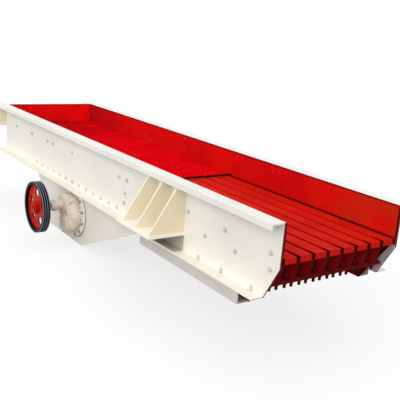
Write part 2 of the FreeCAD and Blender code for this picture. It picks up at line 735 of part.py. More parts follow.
def drive_cover(name):
    """A turned cover that the drive shaft leaves through, with a long sealing boss."""
    body = new_body(name)
    place(body, x=DRIVE_X, z=DRIVE_Z)
    bore = "shaft_radius + seal_play"
    spigot = "bearing_radius - cover_play"
    disc = "bearing_radius + cover_flange"
    edge = f"({BLOCK_END} + cover_thk)"
    collar = "boss_radius + boss_collar_height"
    collar_back = f"({BOSS_END} - boss_collar_length)"
    section = [
        (bore, BEARING_END), (spigot, BEARING_END), (spigot, BLOCK_END), (disc, BLOCK_END), (disc, edge),
        ("boss_radius", edge), ("boss_radius", collar_back), (collar, collar_back), (collar, BOSS_END),
        (bore, BOSS_END),
    ]
    turned(body, [(radius, f"-{y}") for radius, y in section])
    return body


def blind_covers(name):
    """Covers of the three shaft ends that stay inside the exciter."""
    body = new_body(name, several=True)
    place(body, x="exciter_x", z=EXCITER_Z)
    upper, lower = shaft_offsets()
    for side, offset in ((-1, lower), (1, upper), (1, lower)):
        spigot = [(*offset, "bearing_radius - cover_play")]
        disc = [(*offset, "bearing_radius + cover_flange")]
        raised = [(*offset, "bearing_radius + cover_flange - cover_rim")]
        face = f"({BLOCK_END} + cover_thk)"
        side_pad(body, side, spigot, BEARING_END, BLOCK_END)
        side_pad(body, side, disc, BLOCK_END, face)
        side_pad(body, side, raised, face, f"{face} + cover_raise")
    return body


def eccentric_shaft(name, x, z, right_end, journal_end):
    """A turned shaft whose middle is eccentric, hanging back along the throw line at rest."""
    body = new_body(name)
    place(body, x=x, z=z)
    section = [("0", f"-{right_end}")]
    if right_end == journal_end:
        section += [("shaft_radius", f"-{right_end}")]
    else:
        section += [("pulley_bore", f"-{right_end}"), ("pulley_bore", f"-{journal_end}"),
                    ("shaft_radius", f"-{journal_end}")]
    section += [
        ("shaft_radius", f"-{BEARING_START}"), ("collar_radius", f"-{BEARING_START}"),
        ("collar_radius", BEARING_START), ("shaft_radius", BEARING_START),
        ("shaft_radius", f"{BEARING_END} - shaft_end_play"), ("0", f"{BEARING_END} - shaft_end_play"),
    ]
    turned(body, section)
    offset = ("-eccentricity * cos(throw_angle)", "-eccentricity * sin(throw_angle)")
    start = f"(-{PLATE_INNER} + eccentric_end)"
    end = f"({PLATE_INNER} - gear_inset - gear_width - gear_space)"
    radius = f"{PITCH_RADIUS} - eccentricity - eccentric_clearance"
    pad(body, "XZ", [(*offset, radius)], start, f"{end} - {start}")
    if right_end != journal_end:
        keyway = box_loop("pulley_bore - key_depth", "-key_width / 2", "pulley_bore + key_height", "key_width / 2")
        pocket(body, "XZ", [keyway], f"-{right_end}", PULLEY_WIDTH)
    return body


def involute_angle(radius):
    """How far an involute has turned away from its start on the base circle."""
    base = f"({PITCH_RADIUS} * cos(pressure_angle))"
    return f"(sqrt(({radius} / {base}) ^ 2 - 1) * 1 rad - acos({base} / {radius}))"


def flank_point(radius, contact_radius, side):
    """A point of a tooth's flank; below the base circle the flank is radial."""
    thickness = f"(90 deg / {GEAR_TEETH} - gear_backlash / (2 * {PITCH_RADIUS}) * 1 rad)"
    angle = f"({thickness} + {involute_angle(PITCH_RADIUS)} - {involute_angle(contact_radius)})"
    return f"{radius} * cos({angle})", f"{side} * {radius} * sin({angle})"


def spur_gear(name, x, z, turn):
    """A gear with involute teeth, bored to sit on the shaft's collar."""
    body = new_body(name)
    place(body, x=x, z=z, turn=turn)
    start = f"({PLATE_INNER} - gear_inset - gear_width)"
    root = f"({PITCH_RADIUS} - 1.25 * {MODULE})"
    base = f"({PITCH_RADIUS} * cos(pressure_angle))"
    middle = f"({PITCH_RADIUS} + {MODULE} / 2)"
    tip = f"({PITCH_RADIUS} + {MODULE})"
    pad(body, "XZ", [("0", "0", root), ("0", "0", "collar_radius")], start, "gear_width")
    radii = [(f"({root} - {MODULE} / 2)", base), (base, base), (PITCH_RADIUS, PITCH_RADIUS),
             (middle, middle), (tip, tip)]
    rising = [flank_point(radius, contact, -1) for radius, contact in radii]
    falling = [flank_point(radius, contact, 1) for radius, contact in reversed(radii)]
    tooth = pad(body, "XZ", [rising + falling], start, "gear_width")
    polar(body, tooth, GEAR_TEETH)
    return body


# Belt pulley
def pulley(name):
    """A cast V-belt pulley: grooved rim, recessed web with round holes, hub with keyway."""
    body = new_body(name)
    place(body, x=DRIVE_X, y=f"-{PULLEY_FACE}", z=DRIVE_Z)
    rim_inner = "(pulley_radius - rim_thk)"
    web_back = "(web_recess + web_thk)"
    first_groove = "(groove_land + groove_half_width)"
    rim = [(rim_inner, "0"), ("pulley_radius", "0")]
    for step in range(GROOVE_COUNT):
        middle = f"({first_groove} + {step} * {GROOVE_PITCH})"
        rim += [
            ("pulley_radius", f"{middle} - groove_half_width"),
            ("pulley_radius - groove_depth", f"{middle} - groove_root_half_width"),
            ("pulley_radius - groove_depth", f"{middle} + groove_root_half_width"),
            ("pulley_radius", f"{middle} + groove_half_width"),
        ]
    rim += [("pulley_radius", PULLEY_WIDTH), (rim_inner, PULLEY_WIDTH)]
    section = [("pulley_bore", "0"), ("hub_radius", "0"), ("hub_radius", "web_recess"),
               (rim_inner, "web_recess")] + rim
    section += [(rim_inner, web_back), ("hub_radius", web_back), ("hub_radius", PULLEY_WIDTH),
                ("pulley_bore", PULLEY_WIDTH)]
    turned(body, section)
    turns = [step * 360 / WEB_HOLE_COUNT for step in range(WEB_HOLE_COUNT)]
    circle = f"((hub_radius + {rim_inner}) / 2)"
    holes = [(f"{circle} * sin({turn})", f"{circle} * cos({turn})", "web_hole_radius") for turn in turns]
    pocket(body, "XZ", holes, "web_recess", "web_thk")
    keyway = box_loop("0", "-key_width / 2", "pulley_bore + key_height - key_depth", "key_width / 2")
    pocket(body, "XZ", [keyway], "0", PULLEY_WIDTH)
    return body


def pulley_key(name):
    body = new_body(name)
    place(body, x=DRIVE_X, y=f"-{PULLEY_FACE}", z=DRIVE_Z)
    outline = box_loop("pulley_bore - key_depth", "-key_width / 2",
                       "pulley_bore + key_height - key_depth", "key_width / 2")
    pad(body, "XZ", [outline], "0", PULLEY_WIDTH)
    return body


def pulley_end_plate(name):
    """A disc that holds the pulley on the shaft, with its screw's head."""
    body = new_body(name)
    place(body, x=DRIVE_X, y=f"-{PULLEY_FACE}", z=DRIVE_Z)
    pad(body, "XZ", [("0", "0", "end_plate_radius")], "-end_plate_thk", "end_plate_thk")
    head_start = "-end_plate_thk - end_bolt_head_thk"
    pad(body, "XZ", [hex_loop("0", "0", "end_bolt_head")], head_start, "end_bolt_head_thk")
    return body


def build():
    parts = []
    parts.append(trough_plate("rear_plate", REAR, PAN_REAR, INNER, BOTTOM, TOP))
    parts.append(trough_plate("floor_pan", PAN_REAR, PAN_FRONT, INNER, PAN_BOTTOM, PAN_TOP))
    parts.append(trough_plate("floor_liner", PAN_REAR, PAN_FRONT, INNER, PAN_TOP, FLOOR))
    parts.append(trough_plate("rear_wall_liner", PAN_REAR, LINER_REAR, INNER, FLOOR, TOP))
    for number in range(1, PAN_BEAM_COUNT + 1):
        parts.append(pan_beam(f"pan_beam_{number}", number))
    for number in range(1, BAR_COUNT + 1):
        parts.append(grizzly_bar(f"grizzly_bar_{number}", number))
    parts.append(front_beam("grizzly_front_beam"))
    parts.append(box_beam("grizzly_middle_beam", "mid_beam_x", CHEEK_INNER, "mid_beam_height"))
    parts.append(box_beam("grizzly_rear_beam", "(-pan_front - rear_beam_back)", INNER, "rear_beam_height"))
    parts.append(bar_bolts("bar_bolts"))
    parts.append(bar_nuts("bar_nuts"))

    half_seat = "(seat_length / 2)"
    rib_pitch = f"((seat_length - seat_rib_edge - seat_rib_tail) / {SEAT_RIB_COUNT - 1})"
    rib_places = [f"({half_seat} - seat_rib_edge - {step} * {rib_pitch})" for step in range(SEAT_RIB_COUNT)]
    rear_rib_places = [f"({REAR} - seat_rib_edge)", f"({TAIL} + seat_rib_edge)"]
    for hand, side in SIDES.items():
        parts.append(side_plate(f"side_plate_{hand}", side))
        parts.append(side_liner(f"rear_side_liner_{hand}", side, LINER_REAR,
                                f"({SEAM} - seam_gap)", FLOOR, TOP))
        parts.append(side_liner(f"front_side_liner_{hand}", side, SEAM, BAR_FRONT,
                                f"({CHEEK_TOP} + cheek_gap)", f"({TOP} - front_liner_drop)"))
        parts.append(cheek(f"grizzly_cheek_{hand}", side))
        parts.append(rail(f"lower_rail_{hand}", side))
        parts.append(spring_seat(f"front_seat_{hand}", side, f"-{half_seat}", half_seat, "0", "seat_thk"))
        parts.append(seat_ribs(f"front_seat_ribs_{hand}", side, rib_places, "seat_thk"))
        parts.append(spring_seat(f"rear_seat_{hand}", side, TAIL, REAR, REAR_SEAT, "rear_seat_thk"))
        parts.append(seat_ribs(f"rear_seat_ribs_{hand}", side, rear_rib_places,
                               f"({REAR_SEAT} + rear_seat_thk)"))
        parts.append(exciter_plate(f"exciter_plate_{hand}", side))
        parts.append(end_housing(f"exciter_housing_{hand}", side))

    parts.append(plate_bolts("exciter_plate_bolts"))
    parts.append(ring_bolts("housing_bolts"))
    parts.append(exciter_tube("exciter_tube"))
    parts.append(bearing_outer_rings("bearing_outer_rings"))
    parts.append(bearing_inner_rings("drive_bearing_inners", DRIVE_X, DRIVE_Z))
    parts.append(bearing_inner_rings("driven_bearing_inners", DRIVEN_X, DRIVEN_Z))
    parts.append(drive_cover("drive_shaft_cover"))
    parts.append(blind_covers("blind_covers"))
    blind_end = f"({BEARING_END} - shaft_end_play)"
    parts.append(eccentric_shaft("drive_shaft", DRIVE_X, DRIVE_Z, PULLEY_FACE, PULLEY_BACK))
    parts.append(eccentric_shaft("driven_shaft", DRIVEN_X, DRIVEN_Z, blind_end, blind_end))
    parts.append(spur_gear("drive_gear", DRIVE_X, DRIVE_Z, "90 - throw_angle"))
    parts.append(spur_gear("driven_gear", DRIVEN_X, DRIVEN_Z, f"270 - throw_angle + 180 / {GEAR_TEETH}"))
    parts.append(pulley("belt_pulley"))
    parts.append(pulley_key("pulley_key"))
    parts.append(pulley_end_plate("pulley_end_plate"))
    return parts


def check(parts):
    for item in doc.Objects:
        if "Invalid" in item.State or "Error" in item.State:
            raise RuntimeError(f"{item.Label} did not build: {item.State}")
    for body in parts:
        if body.Shape.isNull() or not body.Shape.isValid() or not body.Shape.Solids:
            raise RuntimeError(f"{body.Label} has no valid solid")


def export(parts):
    os.makedirs("parts", exist_ok=True)
    for body in parts:
        body.Shape.exportStep(f"parts/{body.Label}.step")


feeder = build()
doc.recompute()
check(feeder)
export(feeder)
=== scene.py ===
"""Looks of a vibrating grizzly feeder: paint, castings, bolts and welds around its solids.

Metres; +X is the discharge end, +Y the left side, +Z up. A new piece is modelled at the origin
and then put in its place, so that its mesh holds the place and its object stays at the origin.
"""
import json
import math

import bpy
from mathutils import Matrix, Vector

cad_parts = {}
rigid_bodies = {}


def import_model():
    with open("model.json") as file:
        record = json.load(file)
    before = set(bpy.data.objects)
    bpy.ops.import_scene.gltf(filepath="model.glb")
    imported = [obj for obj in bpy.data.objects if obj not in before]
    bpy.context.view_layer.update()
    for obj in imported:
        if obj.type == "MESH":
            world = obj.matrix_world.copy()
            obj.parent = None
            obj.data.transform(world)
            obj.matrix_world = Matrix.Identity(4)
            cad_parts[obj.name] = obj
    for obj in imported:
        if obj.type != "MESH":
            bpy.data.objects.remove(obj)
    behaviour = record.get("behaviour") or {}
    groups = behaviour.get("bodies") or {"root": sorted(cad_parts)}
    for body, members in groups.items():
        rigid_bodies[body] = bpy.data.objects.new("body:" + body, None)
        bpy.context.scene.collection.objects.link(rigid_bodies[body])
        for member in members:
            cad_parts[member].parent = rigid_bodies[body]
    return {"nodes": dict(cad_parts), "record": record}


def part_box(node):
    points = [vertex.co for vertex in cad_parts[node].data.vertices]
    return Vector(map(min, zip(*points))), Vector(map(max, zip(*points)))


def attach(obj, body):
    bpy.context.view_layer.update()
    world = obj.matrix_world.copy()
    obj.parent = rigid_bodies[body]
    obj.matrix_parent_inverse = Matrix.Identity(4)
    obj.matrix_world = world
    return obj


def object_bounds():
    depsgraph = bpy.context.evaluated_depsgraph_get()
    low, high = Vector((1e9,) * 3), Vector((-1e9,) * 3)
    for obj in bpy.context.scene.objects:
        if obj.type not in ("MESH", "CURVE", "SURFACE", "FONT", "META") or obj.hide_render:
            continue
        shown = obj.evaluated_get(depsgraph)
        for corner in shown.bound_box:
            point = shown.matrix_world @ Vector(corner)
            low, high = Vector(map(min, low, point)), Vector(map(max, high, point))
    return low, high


bpy.ops.object.select_all(action="SELECT")
bpy.ops.object.delete()
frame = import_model()
cad_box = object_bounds()
nodes = frame["nodes"]
scene = bpy.context.scene

# Faces and edges of the trough; the right side mirrors the left
SIDES = {"right": -1, "left": 1}
DECK_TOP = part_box("grizzly_bar_1")[1].z
BAR_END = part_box("grizzly_bar_1")[1].x
CAP_THK = 0.050
CAP_UNDER = DECK_TOP - CAP_THK
PLATE_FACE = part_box("front_seat_left")[0].y
PLATE_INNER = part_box("side_plate_left")[0].y
PLATE_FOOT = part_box("side_plate_left")[0].z
TOP_FLANGE_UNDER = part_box("front_seat_ribs_left")[1].z
FLANGE_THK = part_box("side_plate_left")[1].z - TOP_FLANGE_UNDER
BOTTOM_FLANGE_WIDTH = 0.110
BOTTOM_FLANGE_EDGE = PLATE_FACE + BOTTOM_FLANGE_WIDTH
LINER_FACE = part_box("rear_side_liner_left")[0].y
LINER_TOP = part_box("rear_side_liner_left")[1].z
FLOOR_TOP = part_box("floor_liner")[1].z
FLOOR_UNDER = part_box("floor_pan")[0].z
REAR_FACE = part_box("rear_plate")[0].x
RING_THK = 0.025
RING_FACE = PLATE_INNER + RING_THK

# Places along the trough between which a paint changes
PAN_REAR = -4.4
PAN_MIDDLE = -2.2
BARS_MIDDLE = 0.4
BARS_FRONT = 1.5

# A point this near to a face counts as being on it
SKIN = 0.0005
# Shares of its normal at which a face begins to count as facing a way, and counts in full
FACING = (0.5, 0.7)


# Materials
def linear(code):
    """An sRGB hex colour as linear RGBA."""
    parts = [int(code[start:start + 2], 16) / 255 for start in (1, 3, 5)]
    return [p / 12.92 if p <= 0.04045 else ((p + 0.055) / 1.055) ** 2.4 for p in parts] + [1.0]


def add(tree, kind, inputs, output=0, **settings):
    """Add a shader node, set or link its inputs, and give one of its outputs."""
    node = tree.nodes.new("ShaderNode" + kind)
    for name, value in settings.items():
        setattr(node, name, value)
    for socket, value in inputs.items():
        if isinstance(value, bpy.types.NodeSocket):
            tree.links.new(value, node.inputs[socket])
        else:
            node.inputs[socket].default_value = value
    return node.outputs[output]


def start_material(name, specular=0.5, **constants):
    """A material with its shader, and the place of a point on the object itself."""
    material = bpy.data.materials.new(name)
    material.use_nodes = True
    tree = material.node_tree
    tree.nodes.clear()
    surface = add(tree, "BsdfPrincipled", {"Specular IOR Level": specular, **constants})
    output = tree.nodes.new("ShaderNodeOutputMaterial")
    tree.links.new(surface, output.inputs["Surface"])
    place = add(tree, "TexCoord", {}, "Object")
    return material, tree, surface.node, place


def tinted(tree, paint, tone, value, start, end, most=1.0, cover=None):
    """The paint with a tone over it: none where a value is at start, the most at end.

    A cover, from 0 to 1 over the surface, thins the tone further.
    """
    share = add(tree, "MapRange", {"Value": value, "From Min": start, "From Max": end, "To Max": most})
    if cover:
        share = add(tree, "Math", {0: share, 1: cover}, operation="MULTIPLY")
    return add(tree, "Mix", {0: share, 6: paint, 7: tone}, 2, data_type="RGBA")


def from_axis(tree, place, middle):
    """How far a point is from the axis across the trough that goes through a middle."""
    flat = add(tree, "VectorMath", {0: place, 1: (1.0, 0.0, 1.0)}, operation="MULTIPLY")
    return add(tree, "VectorMath", {0: flat, 1: (middle.x, 0.0, middle.z)}, "Value", operation="DISTANCE")


def sprayed(tree, shader, place, tones, rough, blotch_mm, peel_mm, peel_depth_mm):
    """Sprayed enamel: two close tones where the coats overlap, and orange peel."""
    blotch = add(tree, "TexNoise", {"Vector": place, "Scale": 1000 / blotch_mm, "Detail": 5.0})
    sheen = add(tree, "MapRange", {"Value": blotch, "From Min": 0.3, "From Max": 0.7,
                                   "To Min": rough - 0.07, "To Max": rough + 0.07})
    tree.links.new(sheen, shader.inputs["Roughness"])
    peel = add(tree, "TexNoise", {"Vector": place, "Scale": 1000 / peel_mm, "Detail": 2.0})
    bump = add(tree, "Bump", {"Height": peel, "Strength": 0.35, "Distance": peel_depth_mm / 1000})
    tree.links.new(bump, shader.inputs["Normal"])
    return tinted(tree, linear(tones[0]), linear(tones[1]), blotch, 0.35, 0.65)


def cream_coat(tree, shader, place, tones):
    """Satin alkyd enamel on rolled plate, with faint dusty runs down the plate."""
    paint = sprayed(tree, shader, place, tones, rough=0.42, blotch_mm=700, peel_mm=14, peel_depth_mm=0.4)
    tall = add(tree, "Mapping", {"Vector": place, "Scale": (1000 / 90, 1000 / 90, 1000 / 800)})
    runs = add(tree, "TexNoise", {"Vector": tall, "Scale": 1.0, "Detail": 3.0})
    return tinted(tree, paint, linear("#DAD8D1"), runs, 0.55, 0.85, most=0.3)


def cream_enamel(name, tones):
    """Alkyd enamel on rolled plate and its bolts: a pale satin coat with faint dusty runs."""
    material, tree, shader, place = start_material(name, specular=0.3)
    paint = cream_coat(tree, shader, place, tones)
    tree.links.new(paint, shader.inputs["Base Color"])
    return material


def side_plate_enamel(name, tones):
    """Alkyd enamel on a folded side plate: cream outside, lighter and warmer towards its foot as
    painted light.

    The inner face is a dark red down to the bars, in part painted shade in the gaps there, and lilac
    grey below them as painted shade; the front edge is dark. Below the front seat, painted shade
    lies on the web and on the bottom flange.
    """
    material, tree, shader, place = start_material(name, specular=0.3)
    paint = cream_coat(tree, shader, place, tones)
    along = add(tree, "SeparateXYZ", {0: place}, "X")
    height = along.node.outputs["Z"]
    distance = add(tree, "Math", {0: along.node.outputs["Y"]}, operation="ABSOLUTE")
    forward = add(tree, "SeparateXYZ", {0: place.node.outputs["Normal"]}, "X")
    # Lighter, warmer tone towards the foot: painted light
    warm_from = PLATE_FOOT + 0.35
    paint = tinted(tree, paint, linear("#F8F3E6"), height, warm_from, PLATE_FOOT + FLANGE_THK, most=0.8)

    # Inner face: dark red above the bars, partly painted shade in the gaps; lilac grey below them, painted
    # shade
    red_edge = DECK_TOP - 0.06
    lining = tinted(tree, linear("#B4A8B2"), linear("#8E0C0E"), height, red_edge, red_edge + SKIN)
    ahead = add(tree, "Math", {0: along, 1: REAR_FACE}, operation="GREATER_THAN")
    paint = tinted(tree, paint, lining, distance, PLATE_INNER + 2 * SKIN, PLATE_INNER + SKIN, cover=ahead)
    web = add(tree, "Math", {0: distance, 1: PLATE_FACE + SKIN}, operation="LESS_THAN")
    paint = tinted(tree, paint, linear("#640E1A"), forward, *FACING, cover=web)

    # Painted shade below the front seat, on the web and on the bottom flange
    low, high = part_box("front_seat_left")
    seat_shade = add(tree, "Math", {0: distance, 1: PLATE_FACE - SKIN}, operation="GREATER_THAN")
    for value, start, end, least in ((along, low.x, low.x + 0.03, 0.0),
                                     (along, high.x, high.x - 0.01, 0.0),
                                     (along, high.x, high.x - 0.35, 0.5),
                                     (height, high.z - 0.015, high.z - 0.025, 0.0)):
        bound = add(tree, "MapRange", {"Value": value, "From Min": start, "From Max": end, "To Min": least})
        seat_shade = add(tree, "Math", {0: seat_shade, 1: bound}, operation="MULTIPLY")
    paint = tinted(tree, paint, linear("#5A4C40"), distance, BOTTOM_FLANGE_EDGE - 0.002,
                   BOTTOM_FLANGE_EDGE - 0.02, most=0.85, cover=seat_shade)
    tree.links.new(paint, shader.inputs["Base Color"])
    return material


def exciter_plate_enamel(name, tones):
    """Alkyd enamel on an exciter plate: cream, with a dark line round the housing's ring as painted shade
    where the ring meets the plate.
    """
    material, tree, shader, place = start_material(name, specular=0.3)
    paint = cream_coat(tree, shader, place, tones)
    low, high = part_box("exciter_housing_right")
    ring = (high.x - low.x) / 2
    radius = from_axis(tree, place, (low + high) / 2)
    # Dark line round the ring: painted shade
    paint = tinted(tree, paint, linear("#5E564E"), radius, ring + 0.016, ring + 0.006, most=0.8)
    tree.links.new(paint, shader.inputs["Base Color"])
    return material


def red_enamel(name, tones, plates):
    """Enamel on wear plate: matt, with pale and dark chips left by stones.

    Wall plates are darker towards the feed end, darker in their corners as painted shade and
    browner at the discharge. Dark lines of painted shade lie along the top edge, where a seam also
    runs, along the bars and on the front edge. The rear plate has the top line alone. The pan's
    plates are darker at the feed end, dark on their front edge as painted shade, and cream
    underneath.
    """
    material, tree, shader, place = start_material(name, specular=0.0)
    paint = sprayed(tree, shader, place, tones, rough=0.55, blotch_mm=450, peel_mm=16, peel_depth_mm=0.7)
    chips = add(tree, "TexNoise", {"Vector": place, "Scale": 1000 / 30, "Detail": 2.0})
    chip = add(tree, "MapRange", {"Value": chips, "From Min": 0.65, "From Max": 0.69, "To Max": 0.7})
    patches = add(tree, "TexNoise", {"Vector": place, "Scale": 1000 / 260})
    for tone, start, end in (("#DE6A50", 0.56, 0.60), ("#5A0A0A", 0.48, 0.44)):
        paint = tinted(tree, paint, linear(tone), patches, start, end, cover=chip)

    along = add(tree, "SeparateXYZ", {0: place}, "X")
    height = along.node.outputs["Z"]
    forward = add(tree, "SeparateXYZ", {0: place.node.outputs["Normal"]}, "X")
    mirrored = add(tree, "VectorMath", {0: place}, operation="ABSOLUTE")
    corner = add(tree, "VectorMath", {0: mirrored, 1: (-REAR_FACE, LINER_FACE, FLOOR_TOP)}, "Value",
                 operation="DISTANCE")
    clouds = add(tree, "TexNoise", {"Vector": place, "Scale": 1000 / 500, "Detail": 4.0})
    patchy = add(tree, "MapRange", {"Value": clouds, "From Min": 0.3, "From Max": 0.6})
    # Dark line at the top edge: a seam, with painted shade where the liner meets the flange
    top_seam_shade = ("#7A0A12", height, LINER_TOP - 0.020, LINER_TOP - 0.011, 0.7, None)
    layers = {
        "walls": (("#8E0B16", along, PAN_MIDDLE, PAN_REAR, 0.3, patchy),
                  ("#A8340F", along, BARS_MIDDLE, BARS_FRONT, 0.8, patchy),
                  # Darker in the corners: painted shade
                  ("#6A0818", corner, 1.2, 0.2, 0.45, None),
                  top_seam_shade,
                  # Dark line just above the bars: painted shade of the gap beside them
                  ("#5A0608", height, DECK_TOP + 0.018, DECK_TOP + 0.012, 0.9, None),
                  # Front-facing faces dark: painted shade
                  ("#2A0306", forward, *FACING, 1.0, None)),
        "rear": (top_seam_shade,),
        "pan": (("#8E0B12", along, PAN_MIDDLE - 0.4, PAN_REAR, 0.9, patchy),
                # Front-facing faces dark: painted shade
                ("#4A0607", forward, *FACING, 1.0, None),
                ("#E8E4D6", height, FLOOR_UNDER + 2 * SKIN, FLOOR_UNDER + SKIN, 1.0, None)),
    }
    for tone, value, start, end, most, cover in layers[plates]:
        paint = tinted(tree, paint, linear(tone), value, start, end, most, cover)
    tree.links.new(paint, shader.inputs["Base Color"])
    return material


def bar_enamel(name):
    """Enamel on manganese bars: scuffed along the flow, with grit on top.

    The sides of the gaps are a darker red, as painted shade, that turns dark where the gaps open at
    the discharge; the front faces are darker too, as painted shade. The legs below the caps are dark
    red as painted shade under the caps, darker still in front and at their feet.
    """
    material, tree, shader, place = start_material(name, specular=0.02)
    paint = sprayed(tree, shader, place, ("#DE1C0D", "#CE150D"), rough=0.55, blotch_mm=300, peel_mm=12,
                    peel_depth_mm=0.7)
    flow = add(tree, "Mapping", {"Vector": place, "Scale": (1000 / 700, 1000 / 16, 1000 / 60)})
    scuffs = add(tree, "TexNoise", {"Vector": flow, "Scale": 1.0, "Detail": 4.0})
    grains = add(tree, "TexNoise", {"Vector": place, "Scale": 1000 / 20, "Detail": 3.0})
    along = add(tree, "SeparateXYZ", {0: place}, "X")
    height = along.node.outputs["Z"]
    forward = add(tree, "SeparateXYZ", {0: place.node.outputs["Normal"]}, "X")
    sideways = add(tree, "Math", {0: forward.node.outputs["Y"]}, operation="ABSOLUTE")
    for tone, value, start, end, most in (("#9C170C", scuffs, 0.52, 0.75, 0.7),
                                          ("#8A2C16", grains, 0.6, 0.7, 0.6),
                                          ("#E8482C", grains, 0.36, 0.28, 0.4),
                                          ("#9A200E", along, BARS_MIDDLE - 0.1, BARS_FRONT, 0.15)):
        paint = tinted(tree, paint, linear(tone), value, start, end, most)
    # Sides of the gaps: painted shade, dark where the gaps open
    gap = tinted(tree, linear("#C01C10"), linear("#4A0708"), along, BAR_END - 0.14, BAR_END - 0.04)
    paint = tinted(tree, paint, gap, sideways, *FACING)
    # Front faces of the caps darker: painted shade
    paint = tinted(tree, paint, linear("#C41A16"), forward, *FACING)
    # Legs: painted shade under the caps, darker at the feet and in front
    leg = tinted(tree, linear("#96111B"), linear("#4A060B"), height, CAP_UNDER - 0.17, CAP_UNDER - 0.20)
    leg = tinted(tree, leg, linear("#600A10"), forward, *FACING)
    paint = tinted(tree, paint, leg, height, CAP_UNDER + 0.004, CAP_UNDER - 0.004)
    tree.links.new(paint, shader.inputs["Base Color"])
    return material


def shaded_primer(name):
    """Red oxide primer below the deck, dark as painted shade under the deck: dull, with pale dust on the
    ledges.
    """
    material, tree, shader, place = start_material(name, specular=0.03)
    paint = sprayed(tree, shader, place, ("#6C0D14", "#54090F"), rough=0.6, blotch_mm=250, peel_mm=10,
                    peel_depth_mm=0.6)
    upward = add(tree, "SeparateXYZ", {0: place.node.outputs["Normal"]}, "Z")
    dust = add(tree, "TexNoise", {"Vector": place, "Scale": 1000 / 60, "Detail": 4.0})
    paint = tinted(tree, paint, linear("#8A4A3A"), upward, 0.6, 0.9, cover=dust)
    tree.links.new(paint, shader.inputs["Base Color"])
    return material


def casting_enamel(name, tones):
    """Enamel over a sand casting: a grainy skin, darker in the lows, with painted shade near the ring,
    broken up by the grain.
    """
    material, tree, shader, place = start_material(name, specular=0.35)
    paint = sprayed(tree, shader, place, tones, rough=0.42, blotch_mm=120, peel_mm=7, peel_depth_mm=1.6)
    grain = add(tree, "TexNoise", {"Vector": place, "Scale": 1000 / 26, "Detail": 5.0})
    paint = tinted(tree, paint, linear("#C9C0B0"), grain, 0.55, 0.75, most=0.4)
    across = add(tree, "SeparateXYZ", {0: place}, "Y")
    distance = add(tree, "Math", {0: across}, operation="ABSOLUTE")
    off_ring = add(tree, "Math", {0: distance, 1: RING_FACE + SKIN}, operation="GREATER_THAN")
    # Painted shade near the ring, broken up by the grain
    ring_shade = add(tree, "MapRange", {"Value": grain, "From Min": 0.35, "From Max": 0.6, "To Max": 0.75})
    ring_shade = add(tree, "Math", {0: ring_shade, 1: off_ring}, operation="MULTIPLY")
    paint = tinted(tree, paint, linear("#857A6C"), distance, RING_FACE + 0.08, RING_FACE + 0.01,
                   cover=ring_shade)
    tree.links.new(paint, shader.inputs["Base Color"])
    return material


def turned_steel(name):
    """Lathe-turned steel with old oil on it; its tool rings are drawn at 5 mm so that they show."""
    material, tree, shader, place = start_material(name, Metallic=1.0)
    rings = add(tree, "TexWave", {"Vector": place, "Scale": 1000 / (5 * 2 * math.pi), "Distortion": 0.6},
                "Fac", bands_direction="Y")
    bright = tinted(tree, linear("#8F9298"), linear("#74777D"), rings, 0.0, 1.0)
    film = add(tree, "TexNoise", {"Vector": place, "Scale": 1000 / 80, "Detail": 5.0})
    oily = tinted(tree, bright, linear("#6A5A48"), film, 0.5, 0.75, most=0.5)
    tree.links.new(oily, shader.inputs["Base Color"])
    gloss = add(tree, "MapRange", {"Value": rings, "To Min": 0.28, "To Max": 0.42})
    tree.links.new(gloss, shader.inputs["Roughness"])
    return material


def pulley_enamel(name):
    """Cast iron pulley: blotchy red enamel on web and hub, black rim with pale grey groove edges, a painted
    highlight of their polish.
    """
    material, tree, shader, place = start_material(name, specular=0.08)
    paint = sprayed(tree, shader, place, ("#DE2C10", "#B41014"), rough=0.4, blotch_mm=60, peel_mm=8,
                    peel_depth_mm=1.2)
    grain = add(tree, "TexNoise", {"Vector": place, "Scale": 1000 / 22, "Detail": 5.0})
    paint = tinted(tree, paint, linear("#5A0A10"), grain, 0.42, 0.7, most=0.7)
    low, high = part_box("belt_pulley")
    rim = (high.x - low.x) / 2
    black_from = rim - 0.037
    radius = from_axis(tree, place, (low + high) / 2)
    paint = tinted(tree, paint, linear("#0A0B10"), radius, black_from - SKIN, black_from + SKIN)
    # Pale grey groove edges: painted highlight
    paint = tinted(tree, paint, linear("#878DA0"), radius, rim - 0.008, rim - 0.002)
    tree.links.new(paint, shader.inputs["Base Color"])
    return material


cream = cream_enamel("cream_enamel_on_rolled_plate", ("#F3F1EA", "#EBE9E1"))
side_cream = side_plate_enamel("cream_enamel_with_red_inside", ("#F0F0E8", "#E8E8DF"))
plate_cream = exciter_plate_enamel("cream_enamel_on_exciter_plate", ("#ECE8DF", "#E3DFD6"))
# The rail is a greyer cream than the plates: painted shade under the flange
rail_cream = cream_enamel("greyer_cream_enamel_as_painted_shade_on_rail", ("#CFCAC5", "#C5C0BB"))
# The seats are a lighter cream than the plates: painted light
seat_cream = cream_enamel("lighter_cream_enamel_as_painted_light_on_seats", ("#FFFCF2", "#F8F4E8"))
# The ribs are a yellower cream than the plates: painted warm bounced light
rib_cream = cream_enamel("yellower_cream_enamel_as_painted_warm_light_on_ribs", ("#F3EAD2", "#ECE2C7"))
bolt_cream = cream_enamel("cream_enamel_on_bolts", ("#DBD8CE", "#CDCAC0"))
# The ring bolts are darker than the other bolts: painted shade round them
bolt_shaded = cream_enamel("darker_enamel_as_painted_shade_on_ring_bolts", ("#A59C90", "#8C8378"))
wall_red = red_enamel("red_enamel_on_wall_plates", ("#D2120F", "#C30D10"), "walls")
